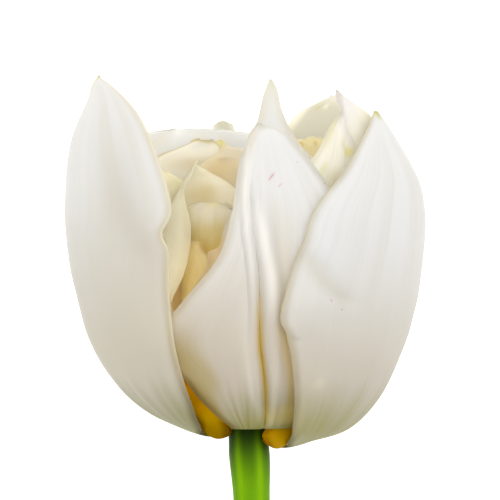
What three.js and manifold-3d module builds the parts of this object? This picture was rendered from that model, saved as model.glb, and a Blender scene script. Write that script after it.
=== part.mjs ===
// A cut double tulip that lies on its back: a white bloom of eighteen smooth petals on a bare green stem.
// Millimetres, +Z up. The bloom's axis runs along +Y, level, and the stem leaves along -Y and bends down
// to the surface. The origin is the middle of the small flat spot that the back petal rests on.
//
// Every petal is a curved blade in bloom coordinates: r is the distance from the bloom's axis, h the height
// along it from the petal's seat, and an azimuth of 0 degrees faces +Z, with positive azimuths toward +X.
import * as THREE from "three";
import { mergeVertices } from "three/addons/utils/BufferGeometryUtils.js";
import Module from "manifold-3d";

const wasm = await Module();
wasm.setup();

// Driving dimensions
const PETAL_THICK = 0.7;
const AXIS_Z = 31.7; // height of the bloom's axis over the surface
const SEAT_Y = -44.5; // where h = 0 lies along Y
const COLUMN_R = 3.7; // receptacle, which the petals grow from
const COLUMN_TOP = 9.6;
const NECK_R = 3.85; // stem just under the bloom
const WAIST_R = 3.45;
const STEM_R = 3.75; // stem at its cut end
const STEM_END_Y = -230;
const STEM_SIDES = 18;
const STEM_RIB = 0.12;
const SEAT_GAP = 0.35; // between the column's top and what stands on it
const OVARY_R = 2.7;
const OVARY_TOP = 25;
const FILAMENT_R = 0.75;
const ANTHER_R = 1.15;
const ANTHER_LENGTH = 9;
const STAMENS = 6;

const WHITE = 0xeeece4;
const CREAM = 0xece4c8;
const GREEN = 0x5fa01c;
const PISTIL = 0xb4bd6a;

const rad = THREE.MathUtils.degToRad;

// Profile of the outermost cup as [r, h]. Inner petals start on the same curve, set in by their depth.
const CUP = [
  [4.2, -0.3],
  [8.0, -0.3],
  [12.6, 1.2],
  [18.1, 4.1],
  [23.7, 9.6],
  [28.9, 17.9],
  [32.0, 28.1],
  [33.5, 40.0],
];

// Stations of a petal's lower part: the cup's profile set in by depth, with a half-width in degrees for each.
function nested(depth, widths) {
  return widths.map((wide, i) => {
    const before = CUP[Math.max(i - 1, 0)];
    const after = CUP[Math.min(i + 1, CUP.length - 1)];
    const dr = after[0] - before[0];
    const dh = after[1] - before[1];
    const m = Math.hypot(dr, dh);
    const r = i ? CUP[i][0] - (depth * dh) / m : CUP[0][0];
    return [r, CUP[i][1] + (depth * dr) / m, wide, wide];
  });
}

// Stations run from the seat to the tip: [r, h, half-width to the left, half-width to the right], the widths
// in degrees round the axis. az is the midrib's azimuth at the seat and lean how far it has turned at the tip.
// curl under 1 rolls the blade tighter across than a cup about the axis. folds are creases along the blade:
// across is their place in degrees from the midrib, deep their height, wide their width in degrees, and
// from..to the stretch that they run along.
const PETALS = [
  {
    name: "petal_outer_left",
    az: -82,
    rows: [
      [4.2, -0.3, 32, 8],
      [8.0, -0.3, 38, 9],
      [12.6, 1.2, 44, 40],
      [18.1, 4.1, 45, 50.5],
      [23.7, 9.6, 50, 53.8],
      [28.9, 17.9, 54, 55.3],
      [32.0, 28.1, 56, 55.9],
      [32.9, 33.2, 56.5, 56.9],
      [33.3, 36.6, 57, 55.3],
      [33.5, 41.0, 57, 58.8],
      [33.0, 50.0, 54, 53.4],
      [31.2, 58.2, 44, 43],
      [29.0, 63.2, 22, 25],
      [27.5, 65.5, 1.8, 1.8],
    ],
    grid: [13, 20],
  },
  {
    name: "petal_outer_right",
    az: 66,
    lean: 6,
    rows: [
      [4.2, -1.6, 3, 24],
      [7.6, -2.4, 5, 28],
      [12.0, -1.2, 30, 38],
      [18.5, 1.4, 41.5, 44],
      [24.2, 7.5, 47, 50],
      [28.6, 16.0, 52.5, 54],
      [30.3, 21.3, 57.2, 55],
      [31.5, 26.8, 56.3, 56],
      [32.6, 37.0, 51, 56],
      [32.3, 42.0, 46.8, 53],
      [31.2, 46.6, 38.6, 47],
      [27.8, 53.0, 24.8, 30],
      [25.2, 57.2, 9.8, 12],
      [24.4, 58.9, 2.2, 3.2],
    ],
    grid: [13, 20],
  },
  {
    name: "petal_outer_back",
    az: -180,
    lean: 9,
    rows: [
      ...nested(1.3, [26, 28, 34, 42, 48, 51, 53, 52]),
      [32.1, 47.0, 48, 48],
      [31.6, 51.8, 34, 34],
      [31.3, 54.9, 9, 13],
      [31.1, 56.2, 2.3, 6.9],
      [30.9, 57.2, 1.3, 6.1],
      [30.8, 58.05, 1, 4.8],
      [30.8, 58.55, 1.1, 2.9],
      [30.8, 58.75, 0.9, 0.9],
    ],
    grid: [13, 20],
  },
  {
    name: "petal_front",
    az: 2,
    lean: 2.5,
    rows: [
      [4.2, 1.8, 16, 14],
      [7.6, 1.3, 18, 14],
      [10.9, 1.5, 18.5, 14],
      [12.9, 1.9, 21, 48],
      [17.2, 5.0, 28.5, 43],
      [22.0, 9.8, 35, 34],
      [26.0, 16.5, 43, 32],
      [28.6, 24.0, 27.5, 31],
      [29.8, 32.0, 13.5, 31],
      [30.0, 40.0, 8.7, 31],
      [29.5, 44.5, 7.6, 25.8],
      [28.3, 48.5, 6.6, 20.8],
      [26.8, 52.0, 4.2, 15.6],
      [25.6, 54.3, 2.7, 11.8],
      [24.8, 55.5, 1.4, 3.2],
      [24.5, 55.9, 0.8, 1],
    ],
    folds: [
      { at: [[0.5, -1], [0.62, -3], [0.8, -3.5], [1, -2]], wide: 4, deep: 0.9, from: 0.3, to: 1 },
      { at: [[0.1, 12], [0.25, 7], [0.42, 3.5], [0.6, 0.5]], wide: 3, deep: -1.2, from: 0.06, to: 0.66 },
      { at: [[0.3, 14], [0.5, 8], [0.7, 7]], wide: 4, deep: 0.7, from: 0.2, to: 0.8 },
      { at: 17, wide: 6, deep: -0.7, from: 0.35, to: 0.75 },
    ],
    grid: [21, 24],
  },
  {
    name: "petal_back_left",
    az: -150,
    rows: [
      ...nested(2.6, [24, 25, 34, 42, 46, 48, 48]),
      [29.6, 37.0, 48, 48],
      [29.1, 46.0, 46, 44],
      [28.4, 52.5, 40, 38],
      [27.5, 55.6, 36, 18],
      [27.1, 56.5, 23, 5],
      [27.0, 56.8, 6, 1],
    ],
    grid: [11, 18],
  },
  {
    name: "petal_back_right",
    az: 145,
    lean: -4,
    rows: [
      ...nested(3.9, [24, 25, 34, 42, 46, 48, 48]),
      [28.3, 38.0, 48, 48],
      [27.5, 47.0, 42, 40],
      [26.8, 53.0, 30, 29],
      [26.2, 58.0, 13, 20.2],
      [26.0, 60.6, 8, 14.6],
      [25.8, 62.1, 4, 6.3],
      [25.8, 63.1, 0.8, 0.8],
    ],
    grid: [11, 19],
  },
  {
    name: "petal_inner_left",
    az: -48,
    lean: -32,
    rows: [
      [4.2, 1.4, 18, 8],
      [6.5, 0.2, 14, 16],
      [8.8, 0.5, 4, 28],
      [10.4, 2.8, 4, 31],
      [12.3, 4.8, 8, 34],
      [17.0, 9.8, 14, 34],
      [20.8, 15.4, 23, 31],
      [24.0, 22.0, 23, 30],
      [26.0, 29.0, 24, 29],
      [26.6, 36.0, 23, 27],
      [25.8, 42.0, 16, 20],
      [25.0, 46.0, 8, 10],
      [24.6, 48.0, 1, 1],
    ],
    folds: [{ at: 6, wide: 13, deep: 0.8, from: 0, to: 0.42 }],
    grid: [9, 19],
  },
  {
    name: "petal_inner_right",
    az: 44,
    lean: 4,
    rows: [
      [4.2, -1.0, 5, 8],
      [7.2, -1.75, 13, 7],
      [9.0, -0.3, 22, 16],
      [10.1, 2.0, 20, 18],
      [12.2, 5.6, 26, 15],
      [15.9, 9.1, 32, 14],
      [19.6, 14.6, 37, 17],
      [22.8, 22.4, 37, 20],
      [24.7, 33.5, 36, 33],
      [24.6, 46.0, 25.5, 41.3],
      [24.05, 51.2, 15.5, 40.6],
      [23.5, 55.5, 8.6, 39.5],
      [23.0, 58.2, 3.2, 26.5],
      [22.5, 60.0, 3, 12.5],
      [21.9, 61.8, 2.1, 1.6],
      [21.7, 62.4, 0.7, 0.7],
    ],
    folds: [{ at: -1.5, wide: 5, deep: 0.8, from: 0.6, to: 1, ramp: 0.2 }],
    grid: [13, 22],
  },
  {
    name: "petal_inner_front",
    az: 14,
    lean: -2.5,
    rows: [
      [4.2, 3.0, 20, 20],
      [8.0, 3.4, 24, 24],
      [12.0, 7.2, 30, 30],
      [15.6, 11.8, 42, 38],
      [19.2, 18.6, 47, 42],
      [20.9, 24.2, 46, 43.5],
      [21.7, 27.6, 38.5, 44],
      [22.2, 30.6, 32.6, 44],
      [22.4, 33.2, 31.6, 43.6],
      [22.5, 34.4, 26, 43.2],
      [22.6, 38.0, 23, 41.5],
      [22.0, 46.0, 14, 30],
      [20.9, 53.0, 10.5, 13],
      [20.2, 58.0, 6, 6],
      [19.8, 62.0, 3.2, 3.4],
      [19.6, 64.3, 0.6, 0.6],
    ],
    grid: [11, 19],
  },
  {
    name: "petal_inner_back_left",
    az: -136,
    lean: -19,
    rows: [
      ...nested(5.1, [22, 24, 34, 42, 45, 45]),
      [25.6, 28.0, 44, 45],
      [25.2, 37.0, 44, 44],
      [23.4, 45.0, 38, 36],
      [21.8, 50.5, 30, 24],
      [21.2, 53.2, 17, 8.5],
      [21.0, 54.3, 10, 3],
      [21.0, 54.7, 6, 1],
    ],
    grid: [11, 17],
  },
  {
    name: "petal_inner_back_right",
    az: 112,
    rows: [
      ...nested(6.4, [22, 24, 32, 38, 42]),
      [21.6, 20.0, 41, 43],
      [22.6, 28.0, 40, 43],
      [23.0, 37.0, 41, 42],
      [22.2, 45.0, 38, 36],
      [21.2, 51.0, 28, 26],
      [20.6, 54.5, 13, 12],
      [20.4, 56.4, 1, 1],
    ],
    grid: [11, 17],
  },
  {
    name: "petal_inner_back",
    az: -118,
    rows: [
      ...nested(6.4, [22, 24, 28, 30, 28, 28]),
      [22.8, 28.0, 30, 28],
      [21.8, 37.0, 32, 32],
      [19.6, 43.0, 30, 32],
      [18.6, 46.4, 24, 26],
      [18.3, 47.9, 12, 12],
      [18.2, 48.2, 1, 1],
    ],
    grid: [9, 17],
  },
  {
    name: "petal_heart_back",
    az: -174,
    lean: 16,
    rows: [
      ...nested(7.6, [22, 24, 36, 42, 42]),
      [19.0, 20.0, 42, 40],
      [19.6, 28.0, 44, 40],
      [18.4, 37.0, 46, 42],
      [16.4, 45.0, 44, 36],
      [15.4, 50.2, 34, 17],
      [15.2, 51.6, 30, 7],
      [15.0, 52.8, 20, 3.2],
      [15.0, 53.5, 6, 2],
      [14.9, 54.3, 0.8, 0.8],
    ],
    grid: [9, 16],
  },
  {
    name: "petal_heart_scroll",
    az: -82,
    curl: 0.5,
    rows: [
      [4.2, 7.8, 22, 16],
      [6.5, 7.8, 30, 16],
      [9.6, 9.8, 40, 17],
      [12.8, 13.2, 48, 17],
      [15.2, 18.0, 56, 17.5],
      [16.6, 23.2, 60, 19.4],
      [16.9, 28.7, 62, 28.8],
      [16.5, 33.7, 65, 32.4],
      [15.1, 38.8, 69, 29.6],
      [13.5, 42.8, 70, 18.8],
      [12.3, 44.7, 68, 9.6],
      [11.4, 46.7, 55, 11],
      [10.4, 48.2, 37, 7.5],
      [9.9, 49.0, 26, 5],
      [9.4, 49.8, 4, 2],
    ],
    grid: [13, 16],
  },
  {
    name: "petal_heart_right",
    az: 92,
    lean: 33,
    rows: [
      ...nested(7.9, [18, 20, 24, 30]),
      [16.8, 18.0, 36, 38],
      [17.4, 26.0, 40, 41],
      [16.8, 35.0, 42, 40],
      [15.2, 43.0, 36, 37],
      [14.6, 49.0, 26, 36],
      [14.6, 52.4, 14, 32],
      [14.6, 54.0, 9, 28],
      [14.6, 54.5, 5, 14],
      [14.6, 55.0, 2, 3],
    ],
    grid: [9, 16],
  },
  {
    name: "petal_heart_front",
    az: -18,
    lean: -38,
    rows: [
      [4.2, 5.4, 24, 24],
      [6.5, 5.2, 30, 30],
      [10.0, 8.0, 30, 36],
      [12.2, 13.0, 24, 40],
      [12.8, 17.5, 27, 40],
      [12.9, 22.0, 34, 40],
      [12.8, 26.5, 34, 34],
      [12.7, 30.5, 28, 22],
      [12.6, 33.2, 20, 10],
      [12.6, 34.6, 14, 11],
      [12.6, 35.4, 6, 11],
    ],
    grid: [9, 14],
  },
  {
    name: "petal_heart_left",
    az: -30,
    rows: [
      [4.2, 8.4, 20, 24],
      [6.0, 8.6, 22, 30],
      [8.4, 11.0, 26, 36],
      [10.4, 15.4, 32, 38],
      [11.3, 22.0, 42, 40],
      [11.6, 29.0, 48, 42],
      [11.6, 36.0, 50, 42],
      [11.6, 40.2, 50, 36],
      [11.6, 41.4, 42, 18],
      [11.6, 42.1, 22, 8],
      [11.6, 42.3, 8, 3],
    ],
    grid: [9, 14],
  },
  {
    name: "petal_heart_core",
    az: 70,
    rows: [
      [4.2, 9.0, 26, 26],
      [6.0, 9.2, 34, 34],
      [8.2, 12.0, 44, 44],
      [9.6, 17.0, 48, 48],
      [10.0, 25.0, 50, 50],
      [9.8, 33.0, 46, 46],
      [9.4, 39.0, 34, 34],
      [9.2, 42.6, 16, 16],
      [9.1, 44.0, 1, 1],
    ],
    grid: [9, 13],
  },
];

// Catmull-Rom value through the stations at t, with the ends carried straight on.
function station(rows, t) {
  const last = rows.length - 1;
  const i = THREE.MathUtils.clamp(Math.floor(t), 0, last - 1);
  const f = t - i;
  const at = (k, c) => {
    if (k < 0) return 2 * rows[0][c] - rows[1][c];
    if (k > last) return 2 * rows[last][c] - rows[last - 1][c];
    return rows[k][c];
  };
  return [0, 1, 2, 3].map((c) => {
    const [a, b, d, e] = [at(i - 1, c), at(i, c), at(i + 1, c), at(i + 2, c)];
    const bend = (2 * a - 5 * b + 4 * d - e) * f * f + (3 * b - a - 3 * d + e) * f * f * f;
    return 0.5 * (2 * b + (d - a) * f + bend);
  });
}

const smooth = (x) => {
  const c = THREE.MathUtils.clamp(x, 0, 1);
  return c * c * (3 - 2 * c);
};

// A crease's place across the blade may itself run along it: [[v, degrees], ...].
function along(value, v) {
  if (typeof value === "number") return value;
  const i = value.findIndex((stop) => stop[0] >= v);
  if (i < 0) return value[value.length - 1][1];
  if (i === 0) return value[0][1];
  const [v0, a] = value[i - 1];
  const [v1, b] = value[i];
  return a + ((b - a) * (v - v0)) / (v1 - v0);
}

// Point of a petal's middle surface: u from -1 at the left margin to 1 at the right, v from seat to tip.
function petalPoint(petal, u, v) {
  const { rows, az, lean = 0, curl = 1, folds = [] } = petal;
  const t = v * (rows.length - 1);
  const [r, h, left, right] = station(rows, t);
  const low = station(rows, Math.max(t - 1e-3, 0));
  const high = station(rows, Math.min(t + 1e-3, rows.length - 1));
  const slope = Math.hypot(high[0] - low[0], high[1] - low[1]);
  const outR = (high[1] - low[1]) / slope;
  const outH = (low[0] - high[0]) / slope;
  const hug = 1 - (1 - curl) * Math.min(v / 0.3, 1);
  const across = u * rad(u < 0 ? left : right);
  const mid = rad(az + lean * Math.max(v, 0) ** 1.5);
  const turn = mid + across / hug;
  let push = 0;
  for (const { at, wide, deep, from = 0, to = 1, ramp = 0.15 } of folds) {
    const off = (THREE.MathUtils.radToDeg(across) - along(at, v)) / wide;
    push += deep * Math.exp(-off * off) * smooth((v - from) / ramp) * smooth((to - v) / ramp);
  }
  const centre = r * (1 - hug);
  const out = r * hug + push * outR;
  return new THREE.Vector3(
    centre * Math.sin(mid) + out * Math.sin(turn),
    SEAT_Y + h + push * outH,
    AXIS_Z + centre * Math.cos(mid) + out * Math.cos(turn),
  );
}

// The direction out of the cup, square to the blade.
function petalNormal(petal, u, v) {
  const e = 1e-3;
  const du = petalPoint(petal, Math.min(u + e, 1), v).sub(petalPoint(petal, Math.max(u - e, -1), v));
  const dv = petalPoint(petal, u, Math.min(v + e, 1)).sub(petalPoint(petal, u, Math.max(v - e, 0)));
  return du.cross(dv).normalize();
}

// A closed blade: the middle surface set out by half the thickness to each side, both sheets split into
// triangles alike, and a rim that joins them. Nothing reaches below the surface that the bloom lies on.
function petalGeometry(petal) {
  const [nu, nv] = petal.grid;
  const half = PETAL_THICK / 2;
  const sheets = [[], []];
  for (let j = 0; j < nv; j++) {
    for (let i = 0; i < nu; i++) {
      const u = (2 * i) / (nu - 1) - 1;
      const v = j / (nv - 1);
      const p = petalPoint(petal, u, v);
      const n = petalNormal(petal, u, v);
      const outer = p.clone().addScaledVector(n, half);
      const inner = p.clone().addScaledVector(n, -half);
      outer.z = Math.max(outer.z, 0);
      inner.z = Math.max(inner.z, PETAL_THICK);
      sheets[0].push(outer);
      sheets[1].push(inner);
    }
  }
  const count = nu * nv;
  const index = [];
  const quad = (a, b, c, d) => index.push(a, b, c, a, c, d);
  for (let j = 0; j + 1 < nv; j++) {
    for (let i = 0; i + 1 < nu; i++) {
      const a = j * nu + i;
      const [b, c, d] = [a + 1, a + nu + 1, a + nu];
      quad(a, b, c, d);
      index.push(count + a, count + d, count + c, count + a, count + c, count + b);
    }
  }
  const rim = [];
  for (let i = 0; i < nu - 1; i++) rim.push(i);
  for (let j = 0; j < nv - 1; j++) rim.push(j * nu + nu - 1);
  for (let i = nu - 1; i > 0; i--) rim.push((nv - 1) * nu + i);
  for (let j = nv - 1; j > 0; j--) rim.push(j * nu);
  rim.forEach((a, k) => {
    const b = rim[(k + 1) % rim.length];
    quad(a, count + a, count + b, b);
  });
  const flat = sheets.flat().flatMap((p) => [p.x, p.y, p.z]);
  const geometry = new THREE.BufferGeometry();
  geometry.setAttribute("position", new THREE.Float32BufferAttribute(flat, 3));
  geometry.setIndex(index);
  geometry.computeVertexNormals();
  return geometry;
}

// A closed tube through rings of equal count, with a fan at each end.
function loft(rings) {
  const sides = rings[0].length;
  const points = rings.flat();
  const index = [];
  for (let j = 0; j + 1 < rings.length; j++) {
    for (let i = 0; i < sides; i++) {
      const a = j * sides + i;
      const b = j * sides + ((i + 1) % sides);
      index.push(a, b, b + sides, a, b + sides, a + sides);
    }
  }
  for (const [ring, start, turn] of [[rings[0], 0, 1], [rings.at(-1), points.length - sides, 0]]) {
    const middle = new THREE.Vector3();
    ring.forEach((p) => middle.addScaledVector(p, 1 / sides));
    const hub = points.push(middle) - 1;
    for (let i = 0; i < sides; i++) {
      const a = start + i;
      const b = start + ((i + 1) % sides);
      index.push(hub, turn ? b : a, turn ? a : b);
    }
  }
  const geometry = new THREE.BufferGeometry();
  const flat = points.flatMap((p) => [p.x, p.y, p.z]);
  geometry.setAttribute("position", new THREE.Float32BufferAttribute(flat, 3));
  geometry.setIndex(index);
  geometry.computeVertexNormals();
  return geometry;
}

// The stem's centre line at y: level under the bloom, then down in a slow bend to lie on the surface.
const BEND_START_Y = SEAT_Y - 16;
const LIE_Y = STEM_END_Y + 22;
const LIE_Z = STEM_R - 0.12;
function stemCentre(y) {
  const s = THREE.MathUtils.clamp((BEND_START_Y - y) / (BEND_START_Y - LIE_Y), 0, 1);
  const side = THREE.MathUtils.clamp((SEAT_Y - y) / (SEAT_Y - STEM_END_Y), 0, 1);
  return new THREE.Vector3(
    0.2 * smooth(side * 20) + 2.2 * Math.sin(side * 3.4) - 5.5 * side * side,
    y,
    THREE.MathUtils.lerp(AXIS_Z, LIE_Z, smooth(s)),
  );
}

function stemRadius(y) {
  const h = y - SEAT_Y;
  if (h > -1) return COLUMN_R;
  if (h > -4) return THREE.MathUtils.lerp(COLUMN_R, NECK_R, smooth((-1 - h) / 3));
  if (h > -13) return THREE.MathUtils.lerp(NECK_R, WAIST_R, smooth((-4 - h) / 9));
  return THREE.MathUtils.lerp(WAIST_R, STEM_R, smooth((-13 - h) / 120));
}

function stemGeometry() {
  const stops = [COLUMN_TOP, 6, 2, -1, -2.5, -4, -7, -10, -13].map((h) => SEAT_Y + h);
  const spans = 30;
  const from = stops.at(-1);
  for (let k = 1; k <= spans; k++) stops.push(from + ((STEM_END_Y - from) * k) / spans);
  const rings = stops.map((y) => {
    const c = stemCentre(y);
    const along = stemCentre(y - 0.5).sub(stemCentre(Math.min(y + 0.5, stops[0]))).normalize();
    const side = new THREE.Vector3(1, 0, 0).cross(along).normalize();
    const up = along.clone().cross(side).normalize();
    const ribs = smooth((SEAT_Y - y - 4) / 8);
    const ring = [];
    for (let i = 0; i < STEM_SIDES; i++) {
      const a = (2 * Math.PI * i) / STEM_SIDES;
      const r = stemRadius(y) - ribs * STEM_RIB * (i % 3 === 0 ? 1 : 0);
      const p = c.clone();
      p.addScaledVector(side, r * Math.cos(a));
      p.addScaledVector(up, r * Math.sin(a));
      p.z = Math.max(p.z, 0);
      ring.push(p);
    }
    return ring;
  });
  return loft(rings);
}

function toSolid(geometry) {
  const bare = geometry.clone();
  for (const name of ["normal", "uv"]) bare.deleteAttribute(name);
  const merged = mergeVertices(bare, 1e-4);
  return new wasm.Manifold(
    new wasm.Mesh({
      numProp: 3,
      vertProperties: merged.attributes.position.array,
      triVerts: new Uint32Array(merged.index.array),
    }),
  );
}

function toGeometry(solid) {
  const mesh = solid.getMesh();
  const geometry = new THREE.BufferGeometry();
  geometry.setAttribute("position", new THREE.BufferAttribute(mesh.vertProperties, 3));
  geometry.setIndex(new THREE.BufferAttribute(mesh.triVerts, 1));
  geometry.computeVertexNormals();
  return geometry;
}

// The flower's heart on the receptacle's top: a three-sided ovary under a three-lobed stigma, and six
// stamens whose feet are sunk in the same disc.
function heartGeometry() {
  const foot = COLUMN_TOP + SEAT_GAP;
  const ring = (h, r, three, sides = 18) => {
    const points = [];
    for (let i = 0; i < sides; i++) {
      const a = (2 * Math.PI * i) / sides;
      const rr = r * (1 + three * Math.cos(3 * a));
      points.push(new THREE.Vector3(rr * Math.sin(a), SEAT_Y + h, AXIS_Z + rr * Math.cos(a)));
    }
    return points;
  };
  const pistil = loft([
    ring(foot, COLUMN_R, 0),
    ring(foot + 1.2, COLUMN_R, 0),
    ring(foot + 1.9, OVARY_R * 0.8, 0.05),
    ring(foot + 5, OVARY_R, 0.08),
    ring(foot + 10, OVARY_R * 0.94, 0.1),
    ring(OVARY_TOP - 2.5, OVARY_R * 0.72, 0.12),
    ring(OVARY_TOP - 1, OVARY_R * 0.85, 0.3),
    ring(OVARY_TOP + 0.4, OVARY_R * 1.05, 0.4),
    ring(OVARY_TOP + 1.4, OVARY_R * 0.8, 0.35),
  ]);
  let solid = toSolid(pistil);
  for (let k = 0; k < STAMENS; k++) {
    const a = (2 * Math.PI * (k + 0.5)) / STAMENS;
    const at = (r, h) => new THREE.Vector3(r * Math.sin(a), SEAT_Y + h, AXIS_Z + r * Math.cos(a));
    const start = at(2.9, foot + 0.5);
    const knee = at(4.6, foot + 4.5);
    const top = at(5.4, foot + 8.4);
    const path = new THREE.QuadraticBezierCurve3(start, knee, top);
    const dot = new THREE.Shape().absarc(0, 0, FILAMENT_R, 0, 2 * Math.PI);
    const stalk = new THREE.ExtrudeGeometry(dot, { steps: 5, curveSegments: 3, extrudePath: path });
    const pod = new THREE.SphereGeometry(ANTHER_R, 6, 6);
    pod.scale(1, ANTHER_LENGTH / 2 / ANTHER_R, 0.85);
    pod.rotateY(a);
    const middle = at(5.5, foot + 7.6 + ANTHER_LENGTH / 2);
    pod.translate(middle.x, middle.y, middle.z);
    solid = solid.add(toSolid(stalk)).add(toSolid(pod));
  }
  return toGeometry(solid);
}

const flower = new THREE.Group();
function add(name, geometry, color, roughness) {
  const material = new THREE.MeshStandardMaterial({ color, roughness, metalness: 0 });
  material.name = name;
  const mesh = new THREE.Mesh(geometry, material);
  mesh.name = name;
  flower.add(mesh);
}

PETALS.forEach((petal) => {
  const inside = petal.name.startsWith("petal_heart");
  add(petal.name, petalGeometry(petal), inside ? CREAM : WHITE, 0.55);
});
add("stem", stemGeometry(), GREEN, 0.5);
add("pistil_and_stamens", heartGeometry(), PISTIL, 0.6);

export default flower;
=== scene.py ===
"""A cut double tulip that lies on its back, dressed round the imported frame. The camera looks straight down.

Lengths are in mm and angles in degrees until they reach Blender. The bloom has coordinates of its own: x to
its right, h up its axis from the petals' seats, and z from its axis toward the camera.
"""
import math

import bpy
import numpy as np
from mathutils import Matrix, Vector


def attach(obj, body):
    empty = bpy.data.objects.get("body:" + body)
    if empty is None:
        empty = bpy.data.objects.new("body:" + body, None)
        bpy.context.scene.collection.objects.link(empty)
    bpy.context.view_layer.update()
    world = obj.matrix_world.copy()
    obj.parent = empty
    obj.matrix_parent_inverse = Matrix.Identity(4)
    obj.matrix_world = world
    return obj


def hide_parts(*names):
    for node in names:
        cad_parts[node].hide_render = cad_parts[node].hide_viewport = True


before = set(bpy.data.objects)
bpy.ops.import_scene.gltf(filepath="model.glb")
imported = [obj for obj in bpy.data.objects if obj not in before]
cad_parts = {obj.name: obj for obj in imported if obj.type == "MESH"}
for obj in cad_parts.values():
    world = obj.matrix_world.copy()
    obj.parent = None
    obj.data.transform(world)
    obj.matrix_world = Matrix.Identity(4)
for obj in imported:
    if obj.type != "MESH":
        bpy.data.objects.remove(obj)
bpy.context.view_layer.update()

MM = 0.001
AXIS_Z = 31.7            # height of the bloom's axis over the floor
SEAT_Y = -44.5           # where h = 0 lies along Y
PHASE = 6.28             # random phases are drawn from 0 to this

# Petal blades
SKIN = 0.35              # from the middle surface to the outer face
THICK = 0.5              # away from the margins
MARGIN_THICK = 0.32      # the share of THICK that is left at the margin
HEM_WIDTH = 2.2          # width of the strip where a blade thins toward its margin
PRESSED = 0.12           # least height of an inner face where the blade is pressed on the floor
MARGIN_PULL = 0.35       # how much the grid lines crowd toward the margins
STEP = 1e-3              # step of the differences that give slopes and normals
LEAN_POWER = 1.5         # a midrib's lean grows as this power of v
CURL_RUN = 0.3           # the v by which a blade's curl is full
CREASE_RAMP = 0.15       # the v over which a crease fades in and out
SWELL, RUFFLE = 0.1, 0.1     # heights of the slow swells and of the margin's ripple
RIB_HEIGHT = 0.012       # of the ridges over the veins
MIDRIB_DEPTH = 0.1
RISE_UNIT = 60           # the field "rise" is h over this
GRAIN, GRAIN_SHIFT = 10, 1.7     # the noise's units across and along a blade, and from one blade to the next

# The cup that the lower parts of the petals follow: [r, h]
CUP = [[4.2, -0.3], [8.0, -0.3], [12.6, 1.2], [18.1, 4.1],
       [23.7, 9.6], [28.9, 17.9], [32.0, 28.1], [33.5, 40.0]]


def nested(depth, widths):
    """The cup's stations set in by depth, each with one half-width for left and right."""
    rows = []
    for i, wide in enumerate(widths):
        before, after = CUP[max(i - 1, 0)], CUP[min(i + 1, len(CUP) - 1)]
        dr, dh = after[0] - before[0], after[1] - before[1]
        m = math.hypot(dr, dh)
        r = CUP[i][0] - depth * dh / m if i else CUP[0][0]
        rows.append([r, CUP[i][1] + depth * dr / m, wide, wide])
    return rows


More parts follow.
